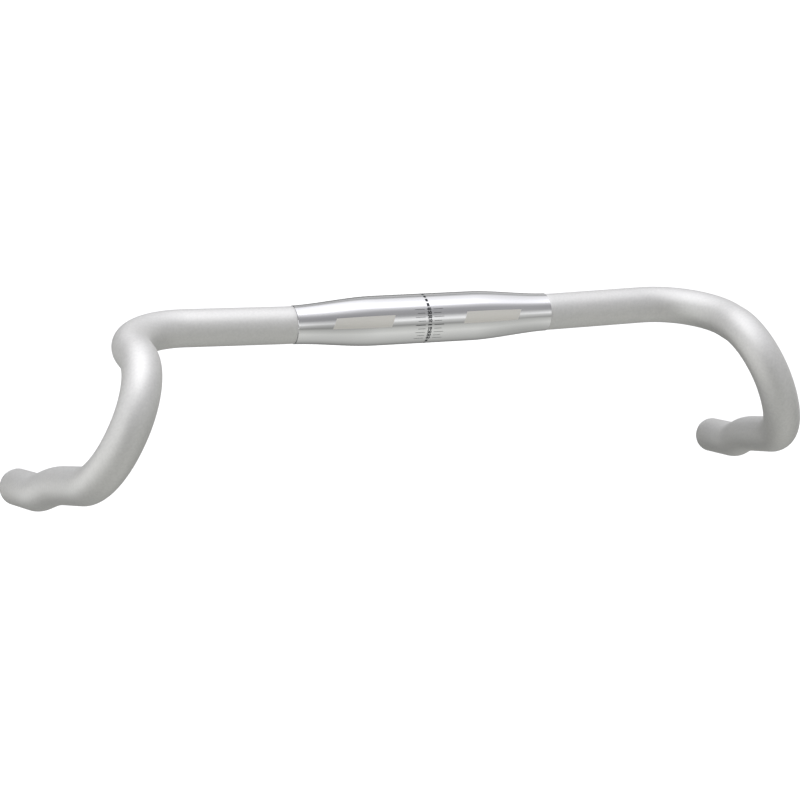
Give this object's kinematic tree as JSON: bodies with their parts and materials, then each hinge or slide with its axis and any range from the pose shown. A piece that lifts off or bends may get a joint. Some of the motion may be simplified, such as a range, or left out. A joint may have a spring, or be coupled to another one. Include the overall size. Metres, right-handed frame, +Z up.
{
  "type": "drop handlebar",
  "caption": "Flared drop handlebar: a bent aluminium tube with kinked drops, a bulged polished clamp sleeve and expanding end plugs.",
  "frame": {"origin": "centre of the stem clamp, on the axis of the clamp sleeve", "axes": "+X along the clamp's axis to the rider's right, -Y forwards along the level ramps, +Z up"},
  "size_m": [0.5256, 0.1517, 0.1422],
  "materials": {
    "blasted_aluminium": "bead-blasted, clear anodised, matte",
    "polished_aluminium": "bright polished, clear anodised",
    "cap_aluminium": "turned, satin anodised",
    "screw_steel": "plain stainless",
    "collet_nylon": "moulded black nylon",
    "ring_rubber": "moulded nitrile rubber",
    "nut_zinc": "zinc plated"
  },
  "bodies": {
    "bar": {"bar_tube": "blasted_aluminium", "centre_sleeve": "polished_aluminium"},
    "end_plug_right": {"plug_cap_right": "cap_aluminium", "plug_collet_right": "collet_nylon", "plug_ring_right": "ring_rubber"},
    "screw_right": {"plug_screw_right": "screw_steel"},
    "nut_right": {"plug_nut_right": "nut_zinc"},
    "end_plug_left": {"plug_cap_left": "cap_aluminium", "plug_collet_left": "collet_nylon", "plug_ring_left": "ring_rubber"},
    "screw_left": {"plug_screw_left": "screw_steel"},
    "nut_left": {"plug_nut_left": "nut_zinc"}
  },
  "joints": [
    {"name": "plug_slide_right", "type": "slide", "parent": "bar", "child": "end_plug_right", "axis": [0.1158, 0.9562, -0.2689], "range_m": [0, 0.035]},
    {"name": "screw_turn_right", "type": "hinge", "parent": "end_plug_right", "child": "screw_right", "pos_m": [0.25105, 0.047, -0.11498], "axis": [0.1158, 0.9562, -0.2689], "range_deg": [0, 1080]},
    {"name": "nut_slide_right", "type": "slide", "parent": "end_plug_right", "child": "nut_right", "axis": [-0.1158, -0.9562, 0.2689], "range_m": [0, 0.0021]},
    {"name": "plug_slide_left", "type": "slide", "parent": "bar", "child": "end_plug_left", "axis": [-0.1158, 0.9562, -0.2689], "range_m": [0, 0.035]},
    {"name": "screw_turn_left", "type": "hinge", "parent": "end_plug_left", "child": "screw_left", "pos_m": [-0.25105, 0.047, -0.11498], "axis": [-0.1158, 0.9562, -0.2689], "range_deg": [0, 1080]},
    {"name": "nut_slide_left", "type": "slide", "parent": "end_plug_left", "child": "nut_left", "axis": [0.1158, -0.9562, 0.2689], "range_m": [0, 0.0021]}
  ],
  "couplings": [
    {"joint": "screw_turn_right", "follows": "nut_slide_right", "rad_per_m": 8976},
    {"joint": "screw_turn_left", "follows": "nut_slide_left", "rad_per_m": 8976}
  ]
}
